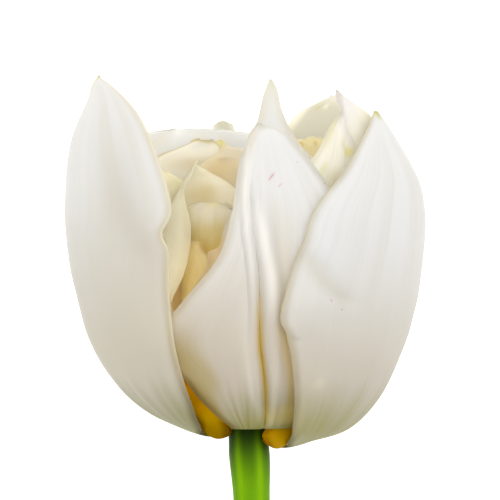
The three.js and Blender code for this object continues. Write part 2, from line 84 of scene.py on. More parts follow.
# Each petal's middle surface: az is its midrib's azimuth, 0 toward the camera and positive to the right, lean
# its turn at the tip, curl below 1 rolls it tighter than the bloom, and rows are its stations from the seat to
# the tip: [r, h, half-width left, half-width right], the widths in degrees round the axis.
PETALS = [
    {"name": "petal_outer_left", "az": -82, "rows": [
        [4.2, -0.3, 32, 8], [8.0, -0.3, 38, 9], [12.6, 1.2, 44, 40], [18.1, 4.1, 45, 50.5],
        [23.7, 9.6, 50, 53.8], [28.9, 17.9, 54, 55.3], [32.0, 28.1, 56, 55.9], [32.9, 33.2, 56.5, 56.9],
        [33.3, 36.6, 57, 55.3], [33.5, 41.0, 57, 58.8], [33.0, 50.0, 54, 53.4], [31.2, 58.2, 44, 43],
        [29.0, 63.2, 22, 25], [27.5, 65.5, 1.8, 1.8],
    ]},
    {"name": "petal_outer_right", "az": 66, "lean": 6, "rows": [
        [4.2, -1.6, 3, 24], [7.6, -2.4, 5, 28], [12.0, -1.2, 30, 38], [18.5, 1.4, 41.5, 44],
        [24.2, 7.5, 47, 50], [28.6, 16.0, 52.5, 54], [30.3, 21.3, 57.2, 55], [31.5, 26.8, 56.3, 56],
        [32.6, 37.0, 51, 56], [32.3, 42.0, 46.8, 53], [31.2, 46.6, 38.6, 47], [27.8, 53.0, 24.8, 30],
        [25.2, 57.2, 9.8, 12], [24.4, 58.9, 2.2, 3.2],
    ]},
    {"name": "petal_outer_back", "az": -180, "lean": 9, "rows": [
        *nested(1.3, [26, 28, 34, 42, 48, 51, 53, 52]),
        [32.1, 47.0, 48, 48], [31.6, 51.8, 34, 34], [31.3, 54.9, 9, 13], [31.1, 56.2, 2.3, 6.9],
        [30.9, 57.2, 1.3, 6.1], [30.8, 58.05, 1, 4.8], [30.8, 58.55, 1.1, 2.9], [30.8, 58.75, 0.9, 0.9],
    ]},
    {"name": "petal_front", "az": 2, "lean": 2.5, "rows": [
        [4.2, 1.8, 16, 14], [7.6, 1.3, 18, 14], [10.9, 1.5, 18.5, 14], [12.9, 1.9, 21, 48],
        [17.2, 5.0, 28.5, 43], [22.0, 9.8, 35, 34], [26.0, 16.5, 43, 32], [28.6, 24.0, 27.5, 31],
        [29.8, 32.0, 13.5, 31], [30.0, 40.0, 8.7, 31], [29.5, 44.5, 7.6, 25.8], [28.3, 48.5, 6.6, 20.8],
        [26.8, 52.0, 4.2, 15.6], [25.6, 54.3, 2.7, 11.8], [24.8, 55.5, 1.4, 3.2], [24.5, 55.9, 0.8, 1],
    ]},
    {"name": "petal_back_left", "az": -150, "rows": [
        *nested(2.6, [24, 25, 34, 42, 46, 48, 48]),
        [29.6, 37.0, 48, 48], [29.1, 46.0, 46, 44], [28.4, 52.5, 40, 38], [27.5, 55.6, 36, 18],
        [27.1, 56.5, 23, 5], [27.0, 56.8, 6, 1],
    ]},
    {"name": "petal_back_right", "az": 145, "lean": -4, "rows": [
        *nested(3.9, [24, 25, 34, 42, 46, 48, 48]),
        [28.3, 38.0, 48, 48], [27.5, 47.0, 42, 40], [26.8, 53.0, 30, 29], [26.2, 58.0, 13, 20.2],
        [26.0, 60.6, 8, 14.6], [25.8, 62.1, 4, 6.3], [25.8, 63.1, 0.8, 0.8],
    ]},
    {"name": "petal_inner_left", "az": -48, "lean": -32, "rows": [
        [4.2, 1.4, 18, 8], [6.5, 0.2, 14, 16], [8.8, 0.5, 4, 28], [10.4, 2.8, 4, 31], [12.3, 4.8, 8, 34],
        [17.0, 9.8, 14, 34], [20.8, 15.4, 23, 31], [24.0, 22.0, 23, 30], [26.0, 29.0, 24, 29],
        [26.6, 36.0, 23, 27], [25.8, 42.0, 16, 20], [25.0, 46.0, 8, 10], [24.6, 48.0, 1, 1],
    ]},
    {"name": "petal_inner_right", "az": 44, "lean": 4, "rows": [
        [4.2, -1.0, 5, 8], [7.2, -1.75, 13, 7], [9.0, -0.3, 22, 16], [10.1, 2.0, 20, 18], [12.2, 5.6, 26, 15],
        [15.9, 9.1, 32, 14], [19.6, 14.6, 37, 17], [22.8, 22.4, 37, 20], [24.7, 33.5, 36, 33],
        [24.6, 46.0, 25.5, 41.3], [24.05, 51.2, 15.5, 40.6], [23.5, 55.5, 8.6, 39.5], [23.0, 58.2, 3.2, 26.5],
        [22.5, 60.0, 3, 12.5], [21.9, 61.8, 2.1, 1.6], [21.7, 62.4, 0.7, 0.7],
    ]},
    {"name": "petal_inner_front", "az": 14, "lean": -2.5, "rows": [
        [4.2, 3.0, 20, 20], [8.0, 3.4, 24, 24], [12.0, 7.2, 30, 30], [15.6, 11.8, 42, 38],
        [19.2, 18.6, 47, 42], [20.9, 24.2, 46, 43.5], [21.7, 27.6, 38.5, 44], [22.2, 30.6, 32.6, 44],
        [22.4, 33.2, 31.6, 43.6], [22.5, 34.4, 26, 43.2], [22.6, 38.0, 23, 41.5], [22.0, 46.0, 14, 30],
        [20.9, 53.0, 10.5, 13], [20.2, 58.0, 6, 6], [19.8, 62.0, 3.2, 3.4], [19.6, 64.3, 0.6, 0.6],
    ]},
    {"name": "petal_inner_back_left", "az": -136, "lean": -19, "rows": [
        *nested(5.1, [22, 24, 34, 42, 45, 45]),
        [25.6, 28.0, 44, 45], [25.2, 37.0, 44, 44], [23.4, 45.0, 38, 36], [21.8, 50.5, 30, 24],
        [21.2, 53.2, 17, 8.5], [21.0, 54.3, 10, 3], [21.0, 54.7, 6, 1],
    ]},
    {"name": "petal_inner_back_right", "az": 112, "rows": [
        *nested(6.4, [22, 24, 32, 38, 42]),
        [21.6, 20.0, 41, 43], [22.6, 28.0, 40, 43], [23.0, 37.0, 41, 42], [22.2, 45.0, 38, 36],
        [21.2, 51.0, 28, 26], [20.6, 54.5, 13, 12], [20.4, 56.4, 1, 1],
    ]},
    {"name": "petal_inner_back", "az": -118, "rows": [
        *nested(6.4, [22, 24, 28, 30, 28, 28]),
        [22.8, 28.0, 30, 28], [21.8, 37.0, 32, 32], [19.6, 43.0, 30, 32], [18.6, 46.4, 24, 26],
        [18.3, 47.9, 12, 12], [18.2, 48.2, 1, 1],
    ]},
    {"name": "petal_heart_back", "az": -174, "lean": 16, "rows": [
        *nested(7.6, [22, 24, 36, 42, 42]),
        [19.0, 20.0, 42, 40], [19.6, 28.0, 44, 40], [18.4, 37.0, 46, 42], [16.4, 45.0, 44, 36],
        [15.4, 50.2, 34, 17], [15.2, 51.6, 30, 7], [15.0, 52.8, 20, 3.2], [15.0, 53.5, 6, 2],
        [14.9, 54.3, 0.8, 0.8],
    ]},
    {"name": "petal_heart_scroll", "az": -82, "curl": 0.5, "rows": [
        [4.2, 7.8, 22, 16], [6.5, 7.8, 30, 16], [9.6, 9.8, 40, 17], [12.8, 13.2, 48, 17],
        [15.2, 18.0, 56, 17.5], [16.6, 23.2, 60, 19.4], [16.9, 28.7, 62, 28.8], [16.5, 33.7, 65, 32.4],
        [15.1, 38.8, 69, 29.6], [13.5, 42.8, 70, 18.8], [12.3, 44.7, 68, 9.6], [11.4, 46.7, 55, 11],
        [10.4, 48.2, 37, 7.5], [9.9, 49.0, 26, 5], [9.4, 49.8, 4, 2],
    ]},
    {"name": "petal_heart_right", "az": 92, "lean": 33, "rows": [
        *nested(7.9, [18, 20, 24, 30]),
        [16.8, 18.0, 36, 38], [17.4, 26.0, 40, 41], [16.8, 35.0, 42, 40], [15.2, 43.0, 36, 37],
        [14.6, 49.0, 26, 36], [14.6, 52.4, 14, 32], [14.6, 54.0, 9, 28], [14.6, 54.5, 5, 14],
        [14.6, 55.0, 2, 3],
    ]},
    {"name": "petal_heart_front", "az": -18, "lean": -38, "rows": [
        [4.2, 5.4, 24, 24], [6.5, 5.2, 30, 30], [10.0, 8.0, 30, 36], [12.2, 13.0, 24, 40],
        [12.8, 17.5, 27, 40], [12.9, 22.0, 34, 40], [12.8, 26.5, 34, 34], [12.7, 30.5, 28, 22],
        [12.6, 33.2, 20, 10], [12.6, 34.6, 14, 11], [12.6, 35.4, 6, 11],
    ]},
    {"name": "petal_heart_left", "az": -30, "rows": [
        [4.2, 8.4, 20, 24], [6.0, 8.6, 22, 30], [8.4, 11.0, 26, 36], [10.4, 15.4, 32, 38],
        [11.3, 22.0, 42, 40], [11.6, 29.0, 48, 42], [11.6, 36.0, 50, 42], [11.6, 40.2, 50, 36],
        [11.6, 41.4, 42, 18], [11.6, 42.1, 22, 8], [11.6, 42.3, 8, 3],
    ]},
    {"name": "petal_heart_core", "az": 70, "rows": [
        [4.2, 9.0, 26, 26], [6.0, 9.2, 34, 34], [8.2, 12.0, 44, 44], [9.6, 17.0, 48, 48],
        [10.0, 25.0, 50, 50], [9.8, 33.0, 46, 46], [9.4, 39.0, 34, 34], [9.2, 42.6, 16, 16],
        [9.1, 44.0, 1, 1],
    ]},
]


# ---- petal shapes ----

def smooth(x):
    """From 0 to 1 with soft ends."""
    c = np.clip(x, 0, 1)
    return c * c * (3 - 2 * c)


def unit(x):
    return x / np.maximum(np.linalg.norm(x, axis=-1, keepdims=True), 1e-12)


def lengths(P, axis):
    """Distance run along the grid from its start."""
    step = np.linalg.norm(np.diff(P, axis=axis), axis=-1)
    zero = np.zeros_like(np.take(step, [0], axis=axis))
    return np.concatenate([zero, np.cumsum(step, axis=axis)], axis=axis)


def spline(rows, t):
    """Catmull-Rom values through the stations at t."""
    rows = np.asarray(rows, float)
    last = len(rows) - 1
    ext = np.vstack([2 * rows[0] - rows[1], rows, 2 * rows[-1] - rows[-2]])
    i = np.clip(np.floor(t).astype(int), 0, last - 1)
    f = (t - i)[:, None]
    a, b, c, d = ext[i], ext[i + 1], ext[i + 2], ext[i + 3]
    return 0.5 * (2 * b + (c - a) * f + (2 * a - 5 * b + 4 * c - d) * f ** 2 + (3 * b - a - 3 * c + d) * f ** 3)


def waves(rng, u, v, count, low, high, drift):
    """A smooth field of amplitude about 1: ridges that run along the blade and wander slowly across it."""
    out = np.zeros_like(u)
    for _ in range(count):
        n = rng.uniform(low, high)
        k = rng.uniform(-drift, drift)
        out += rng.uniform(0.5, 1) * np.sin(math.pi * n * u + k * math.pi * v + rng.uniform(0, PHASE))
    return out / math.sqrt(count)


def make_relief(seed, swell, ruffle):
    """A petal's low relief: fine ribs, slow swells, a rippled margin and a shallow channel on the midrib."""
    def relief(U, V, broad):
        rng = np.random.default_rng(seed)
        body = smooth(V / 0.2)
        inward = smooth((1 - np.abs(U)) / 0.1) * smooth(V / 0.08)
        ribs = waves(rng, U, V, count=12, low=10, high=30, drift=3)
        push = RIB_HEIGHT * ribs * inward * broad ** 2
        push = push + swell * waves(rng, U, V, count=5, low=0.7, high=2.4, drift=3) * body * broad
        ripple = np.sin(V * rng.uniform(16, 24) + rng.uniform(0, PHASE))
        ripple = ripple + 0.6 * np.sin(V * rng.uniform(34, 48) + U)
        push = push + ruffle * ripple * np.abs(U) ** 6 * body
        channel = np.exp(-(U / 0.05) ** 2) * smooth((V - 0.03) / 0.2) * smooth((0.98 - V) / 0.3)
        return push - MIDRIB_DEPTH * channel * broad
    return relief


def blade_points(petal, U, V):
    """Middle surface (x, h, z) and the creases' painted shading and tint, over the grids U (-1..1, left to
    right) and V (0..1).
    """
    rows = petal["rows"]
    last = len(rows) - 1
    v = V[:, 0]
    t = v * last
    r, h, left, right = spline(rows, t).T
    for side, at, wide, turn in petal["nicks"]:
        bump = turn * np.exp(-((v - at) / wide) ** 2)
        if side == "left":
            left = left + bump
        else:
            right = right + bump
    below, above = (spline(rows, np.clip(t + step, 0, last)) for step in (-STEP, STEP))
    dr, dh = (above - below)[:, :2].T
    m = np.hypot(dr, dh)
    out_r, out_h = dh / m, -dr / m
    hug = 1 - (1 - petal.get("curl", 1)) * np.minimum(v / CURL_RUN, 1)
    across = U * np.where(U < 0, np.radians(left)[:, None], np.radians(right)[:, None])
    mid = np.radians(petal["az"] + petal.get("lean", 0) * v ** LEAN_POWER)
    turn = mid[:, None] + across / hug[:, None]
    push = np.zeros_like(U)
    crease_shading_and_tint = np.zeros_like(U)
    for crease in petal["creases"]:
        at = crease["at"]
        line = np.interp(v, *zip(*at))[:, None] if isinstance(at, list) else at
        ramp = crease.get("ramp", CREASE_RAMP)
        rise = smooth((V - crease["from"]) / ramp) * smooth((crease["to"] - V) / ramp)
        crest = np.exp(-((np.degrees(across) - line) / crease["wide"]) ** 2) * rise
        push += crease["deep"] * crest
        crease_shading_and_tint += crease.get("crease_shading_and_tint", 0) * crest
    broad = r * (left + right)
    push += petal["relief"](U, V, np.minimum(broad / broad.max(), 1)[:, None])
    centre = (r * (1 - hug))[:, None]
    out = (r * hug)[:, None] + push * out_r[:, None]
    points = np.stack([
        centre * np.sin(mid)[:, None] + out * np.sin(turn),
        h[:, None] + push * out_h[:, None],
        centre * np.cos(mid)[:, None] + out * np.cos(turn),
    ], -1)
    return points, crease_shading_and_tint


def mesh_object(name, points, faces, fields, material):
    """A smooth-shaded object from points in mm, with fields as attributes of its points."""
    mesh = bpy.data.meshes.new(name)
    mesh.from_pydata((np.asarray(points) * MM).tolist(), [], faces)
    for key, values in fields.items():
        values = np.asarray(values, float)
        kind = "FLOAT" if values.ndim == 1 else "FLOAT_VECTOR"
        layer = mesh.attributes.new(key, kind, "POINT")
        layer.data.foreach_set("value" if kind == "FLOAT" else "vector", values.ravel())
    mesh.polygons.foreach_set("use_smooth", [True] * len(mesh.polygons))
    mesh.materials.append(material)
    mesh.update()
    obj = bpy.data.objects.new(name, mesh)
    bpy.context.scene.collection.objects.link(obj)
    return obj


def margin_spacing(n):
    """Grid lines from -1 to 1, closer together at the margins."""
    x = np.linspace(-1, 1, n)
    return np.sin(x * math.pi / 2) * MARGIN_PULL + x * (1 - MARGIN_PULL)


def shell_faces(nu, nv):
    """Faces of a closed shell: the outer grid, the inner grid after it, and the strip between their rims."""
    n = nu * nv
    faces = []
    for j in range(nv - 1):
        a = j * nu + np.arange(nu - 1)
        faces += np.stack([a, a + 1, a + nu + 1, a + nu], 1).tolist()
        a = a + n
        faces += np.stack([a, a + nu, a + nu + 1, a + 1], 1).tolist()
    rim = list(range(nu)) + [j * nu + nu - 1 for j in range(1, nv)]
    rim += [(nv - 1) * nu + i for i in range(nu - 2, -1, -1)] + [j * nu for j in range(nv - 2, 0, -1)]
    return faces + [[a, a + n, b + n, b] for a, b in zip(rim, rim[1:] + rim[:1])]


def build_petal(petal, material):
    """A blade with two faces: full at its middle, thin at its margin."""
    nu, nv = petal["fine"]
    U, V = np.meshgrid(margin_spacing(nu), np.linspace(0, 1, nv))
    P, crease_shading_and_tint = blade_points(petal, U, V)
    Uc = np.clip(U, -1 + STEP, 1 - STEP)
    Vc = np.clip(V, STEP, 1 - STEP)
    du = blade_points(petal, Uc + STEP, Vc)[0] - blade_points(petal, Uc - STEP, Vc)[0]
    dv = blade_points(petal, Uc, Vc + STEP)[0] - blade_points(petal, Uc, Vc - STEP)[0]
    N = unit(np.cross(du, dv))
    arc, run = lengths(P, 1), lengths(P, 0)
    wide = arc[:, -1:]
    to_tip = run[-1:] - run
    edge = np.minimum(np.minimum(arc, wide - arc), to_tip)
    thick = THICK * (MARGIN_THICK + (1 - MARGIN_THICK) * smooth(edge / HEM_WIDTH))
    outer = P + N * SKIN
    inner = outer - N * thick[..., None]
    sheets = []
    for sheet, least in ((outer, 0.0), (inner, PRESSED)):
        sheet = sheet + [0, SEAT_Y, AXIS_Z]
        sheet[..., 2] = np.maximum(sheet[..., 2], least)
        sheets.append(sheet.reshape(-1, 3))

    def both(x):
        return np.concatenate([x.reshape(nu * nv, -1).squeeze()] * 2)

    calm = smooth(wide / wide.max() / 0.8)      # fades the streaks where the blade is narrow
    fields = {
        "edge": both(edge),
        "tipward": both(to_tip),
        "rise": both(P[..., 1] / RISE_UNIT),
        "crease_shading_and_tint": both(crease_shading_and_tint),
        "calm": both(np.broadcast_to(calm, U.shape)),
        "inside": np.repeat([0.0, 1.0], nu * nv),
        "grain": both(np.stack([U * GRAIN, V * GRAIN, np.full_like(U, petal["seed"] * GRAIN_SHIFT)], -1)),
    }
    obj = mesh_object(petal["name"] + "_blade", np.concatenate(sheets), shell_faces(nu, nv), fields, material)
    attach(obj, "root")
    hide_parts(petal["name"])
    return obj


# ---- materials ----

def srgb(r, g, b):
    """0-255 display colour to the shader's linear colour."""
    return tuple(((c / 255 + 0.055) / 1.055) ** 2.4 if c > 10 else c / 255 / 12.92 for c in (r, g, b)) + (1.0,)


class Graph:
    """A node material under construction."""

    def __init__(self, name):
        self.material = bpy.data.materials.new(name)
        self.material.use_nodes = True
        self.tree = self.material.node_tree
        self.tree.nodes.clear()

    def put(self, kind, inputs=None, **settings):
        node = self.tree.nodes.new(kind)
        for key, value in settings.items():
            setattr(node, key, value)
        for key, value in (inputs or {}).items():
            if isinstance(value, bpy.types.NodeSocket):
                self.tree.links.new(value, node.inputs[key])
            else:
                node.inputs[key].default_value = value
        return node

    def field(self, name):
        return self.put("ShaderNodeAttribute", attribute_name=name).outputs["Fac"]

    def place(self, name):
        return self.put("ShaderNodeAttribute", attribute_name=name).outputs["Vector"]

    def span(self, value, a, b, c=0.0, d=1.0):
        """value carried from a..b to c..d with soft ends."""
        inputs = {0: value, 1: a, 2: b, 3: c, 4: d}
        return self.put("ShaderNodeMapRange", inputs, interpolation_type="SMOOTHSTEP").outputs[0]

    def calc(self, op, a, b):
        return self.put("ShaderNodeMath", {0: a, 1: b}, operation=op).outputs[0]

    def mix(self, fac, a, b):
        return self.put("ShaderNodeMix", {0: fac, 6: a, 7: b}, data_type="RGBA").outputs[2]

    def vector(self, op, a, b=(0, 0, 0)):
        return self.put("ShaderNodeVectorMath", {0: a, 1: b}, operation=op).outputs

    def stretched(self, where, scale):
        return self.vector("MULTIPLY", where, scale)[0]

    def noise(self, where, scale, detail=2.0, rough=0.5):
        inputs = {"Vector": where, "Scale": scale, "Detail": detail, "Roughness": rough}
        return self.put("ShaderNodeTexNoise", inputs).outputs["Fac"]

    def bump(self, height, strength, distance):
        inputs = {"Height": height, "Strength": strength, "Distance": distance}
        return self.put("ShaderNodeBump", inputs).outputs[0]

    def finish(self, shader):
        self.put("ShaderNodeOutputMaterial", {"Surface": shader})
        return self.material


PAINTED_CREASE_HIGHLIGHT = srgb(254, 251, 246)      # painted highlight that a crease shows where its shading field is below 0
WARM_LIGHT = srgb(252, 246, 228)        # tint of the light that comes through a petal
HEM = ((0.92, 0.92, 0.85, 1), 0.8, 0.25)

# How the noise is stretched across, along and between blades: soft clouds, broad bands, fine veins
CLOUDS, BANDS, VEINS = (0.3, 0.3, 1), (0.8, 0.08, 1), (6.0, 0.3, 1)
# Heights, as "rise", over which a tint comes in
BASE_FADE, FOOT_FADE, HEM_FADE = (0.2, -0.03), (0.09, 0.0), (0.1, 0.3)
TIP_FADE, WARM_FADE = (0.5, 0.7), (0.1, 0.3)
SKIN_BUMP = 0.12 * MM
HEART_BUMP = 0.2 * MM


def petal_material(name, outer, outer_low, inner, inner_low, base, tip, tip_run, glow=0.36, levels=(),
                   foot=None, crease_tint_and_shade=None, spots_and_painted_light=(), spread=(2.0, 6.0), shine=0.25, sheen=0.1, stray=0.16,
                   fall=(0.85, 0.14), hem=HEM):
    """A petal's skin, each tint laid over the ones before it.

    Down the blade, outer and inner turn to outer_low and inner_low between the heights fall (as "rise") and to
    base near the seat, and stray is how far those heights wander; these lower tints are partly the petal's own
    yellower base and partly painted shade. levels are more tints: (tint, height where it starts, height where
    it is full). foot is the tint at the seat, and crease_tint_and_shade the colour that a crease shows: painted
    shade, which in the front petal's groove is partly its own golden tint.
    hem is the margin's (tint, width in mm, strength), and tip covers the last tip_run mm.
    spots_and_painted_light
    are soft spots: (u, v, angle, half-sizes, tint, strength), with spread the mm in one unit of grain across
    and along; some are the petal's own pink or yellow specks, others painted shade and painted highlights.
    glow is the share of light that comes through.
    """
    g = Graph(name)
    rise, edge, inside, tipward, calm = (g.field(k) for k in ("rise", "edge", "inside", "tipward", "calm"))
    grain = g.place("grain")
    cloud = g.noise(g.stretched(grain, CLOUDS), 1.0, 3.0)
    bands = g.noise(g.stretched(grain, BANDS), 1.0)
    veins = g.noise(g.stretched(grain, VEINS), 1.0, 4.0, 0.6)
    wander = g.calc("MULTIPLY", g.calc("SUBTRACT", g.calc("ADD", cloud, bands), 1.0), stray)
    reach = g.calc("ADD", rise, wander)
    # Painted shade: the tints darken toward the seat, where less light falls, mixed with the petal's own
    # yellower base
    depth = g.span(reach, *fall)
    colour = g.mix(inside, g.mix(depth, outer, outer_low), g.mix(depth, inner, inner_low))
    shade = g.mix(inside, outer_low, inner_low)
    streak = g.calc("MULTIPLY", g.span(bands, 0.4, 0.7, 0.0, 0.3), calm)
    colour = g.mix(streak, colour, shade)
    thread = g.calc("MULTIPLY", g.span(veins, 0.5, 0.72, 0.0, 0.12), calm)
    colour = g.mix(thread, colour, shade)
    colour = g.mix(g.span(reach, *BASE_FADE), colour, base)
    for tint, start, full in levels:
        colour = g.mix(g.span(reach, start, full), colour, tint)
    if foot is not None:
        colour = g.mix(g.span(rise, *FOOT_FADE), colour, foot)
    # Painted shade along grooves, hollows and dents (in the front petal's groove partly its own golden tint),
    # and a painted highlight where the field is below 0
    if crease_tint_and_shade is not None:
        crease_shading_and_tint = g.field("crease_shading_and_tint")
        colour = g.mix(crease_shading_and_tint, colour, crease_tint_and_shade)
        colour = g.mix(g.calc("MULTIPLY", crease_shading_and_tint, -1.0), colour, PAINTED_CREASE_HIGHLIGHT)
    hem_tint, hem_width, hem_strength = hem
    border = g.calc("MULTIPLY", g.span(edge, hem_width, 0.1, 0.0, hem_strength), g.span(rise, *HEM_FADE))
    colour = g.mix(border, colour, hem_tint)
    green = g.calc("MULTIPLY", g.span(tipward, tip_run, 0.0, 0.0, 0.8), g.span(rise, *TIP_FADE))
    colour = g.mix(green, colour, tip)
    # Spots: some are the petal's own pink or yellow specks, others painted shade and painted highlights
    for u, v, angle, size, tint, strength in spots_and_painted_light:
        off = g.vector("SUBTRACT", grain, (u * GRAIN, v * GRAIN, 0))[0]
        off = g.stretched(off, (*spread, 0))
        off = g.put("ShaderNodeVectorRotate", {"Vector": off, "Angle": math.radians(angle)},
                    rotation_type="Z_AXIS").outputs[0]
        off = g.stretched(off, (1 / size[0], 1 / size[1], 0))
        far = g.vector("LENGTH", off)[1]
        colour = g.mix(g.span(far, 1.0, 0.2, 0.0, strength), colour, tint)
    ridges = g.calc("ADD", g.calc("MULTIPLY", veins, 0.6), g.calc("MULTIPLY", bands, 0.8))
    normal = g.bump(g.calc("MULTIPLY", ridges, calm), 0.2, SKIN_BUMP)
    rough = g.span(cloud, 0.3, 0.7, 0.45, 0.58)
    skin = g.put("ShaderNodeBsdfPrincipled", {
        "Base Color": colour, "Roughness": rough, "Normal": normal, "Specular IOR Level": shine,
        "Sheen Weight": sheen, "Sheen Roughness": 0.4,
    }).outputs[0]
    warm = g.mix(g.span(rise, *WARM_FADE, 0.0, 0.4), colour, WARM_LIGHT)
    through = g.put("ShaderNodeBsdfTranslucent", {"Color": warm, "Normal": normal}).outputs[0]
    thin = g.span(edge, HEM_WIDTH, 0.2, glow, 0.75)
    return g.finish(g.put("ShaderNodeMixShader", {0: thin, 1: skin, 2: through}).outputs[0])


def stem_material():
    """Green skin with paler streaks, painted shade just under the bloom, and a cut face with a paler pith."""
    g = Graph("stem_skin")
    down, around, band = g.field("down"), g.place("skin"), g.field("band")
    fibre = g.noise(g.stretched(around, (9.0, 0.1, 9.0)), 1.0, 3.0, 0.6)
    mottled = g.noise(g.stretched(around, (0.5, 0.15, 0.5)), 1.0, 3.0, 0.5)
    colour = g.mix(band, srgb(99, 148, 2), srgb(120, 168, 4))
    colour = g.mix(g.span(mottled, 0.4, 0.75, 0.0, 0.4), colour, srgb(114, 168, 4))
    colour = g.mix(g.span(fibre, 0.5, 0.75, 0.0, 0.12), colour, srgb(90, 138, 2))
    # Painted shade: the skin turns dark green just under the bloom, where the bloom's shadow falls
    under = g.span(g.calc("ADD", down, g.calc("MULTIPLY", band, 3.0)), 12.0, -0.5)
    colour = g.mix(under, colour, srgb(28, 50, 0))
    colour = g.mix(g.span(down, -1.5, -5.0), colour, srgb(190, 190, 90))
    cut = g.field("cut")
    spots = g.put("ShaderNodeTexVoronoi", {"Vector": around, "Scale": 0.9}, feature="F1").outputs["Distance"]
    pith = g.mix(g.span(cut, 0.35, 0.85), srgb(206, 214, 150), srgb(150, 178, 84))
    pith = g.mix(g.calc("MULTIPLY", g.span(spots, 0.28, 0.16), g.span(cut, 0.3, 0.5)), pith, srgb(112, 140, 60))
    colour = g.mix(g.span(cut, 0.001, 0.01), colour, pith)
    normal = g.bump(fibre, 0.25, SKIN_BUMP)
    rough = g.span(mottled, 0.3, 0.7, 0.5, 0.6)
    inputs = {"Base Color": colour, "Roughness": rough, "Normal": normal, "Specular IOR Level": 0.06}
    return g.finish(g.put("ShaderNodeBsdfPrincipled", inputs).outputs[0])


def heart_material(name, main, second, scale, rough, bumpiness):
    """Fine-grained skin of two colours for the pistil and the stamens."""
    g = Graph(name)
    where = g.put("ShaderNodeTexCoord").outputs["Object"]
    cells = g.noise(where, scale, 4.0, 0.65)
    broad = g.noise(where, scale * 0.2, 2.0)
    colour = g.mix(g.span(cells, 0.35, 0.7), main, second)
    colour = g.mix(g.span(broad, 0.4, 0.7, 0.0, 0.4), colour, second)
    inputs = {"Base Color": colour, "Roughness": rough, "Normal": g.bump(cells, bumpiness, HEART_BUMP)}
    return g.finish(g.put("ShaderNodeBsdfPrincipled", inputs).outputs[0])


# ---- stem, pistil and stamens ----

COLUMN_TOP = 9.6                 # the receptacle's top, as h
STEM_END_Y = -230.0
BEND_START_Y = SEAT_Y - 16       # the stem bends down from here until it lies flat at LIE_Y
LIE_Y = STEM_END_Y + 22
LIE_Z = 3.63                     # height of the lying end's axis
STEM_SIDES = 72
FINE_REACH, FINE_RINGS, LONG_RINGS = 14, 60, 230      # rings down to h = -FINE_REACH, and from there on
STEM_RADIUS = 3.7
STEM_SWELLS = ((-1, 0.15, 3), (-4, -0.4, 9), (-13, 0.3, 120))      # below h: gain in radius, over a length
STEM_INSET = 0.08                # room for ribs and lumps under the solid's surface
STEM_RIBS, RIB_DEPTH, STEM_SEED = 9, 0.02, 7
STEM_BANDS = ((30, 13), (-33, 13), (96, 16), (152, 12), (206, 15), (262, 14))      # paler bands: angle, width
FIELD_RADIUS = 3                 # radius of the stem in its noise field
CAP_RINGS = 8                    # between an end's rim and its middle
CUT_DISH = 0.35                  # how far the cut face sinks at its middle


def stem_centre(y):
    """The stem's axis as the solid has it: down from the bloom to the floor, swaying a little to the sides."""
    s = np.clip((BEND_START_Y - y) / (BEND_START_Y - LIE_Y), 0, 1)
    side = np.clip((SEAT_Y - y) / (SEAT_Y - STEM_END_Y), 0, 1)
    x = 0.2 * smooth(side * 20) + 2.2 * np.sin(side * 3.4) - 5.5 * side ** 2
    return np.stack([x, y, AXIS_Z + (LIE_Z - AXIS_Z) * smooth(s)], -1)


def stem_radius(h):
    return STEM_RADIUS + sum(gain * smooth((start - h) / length) for start, gain, length in STEM_SWELLS)


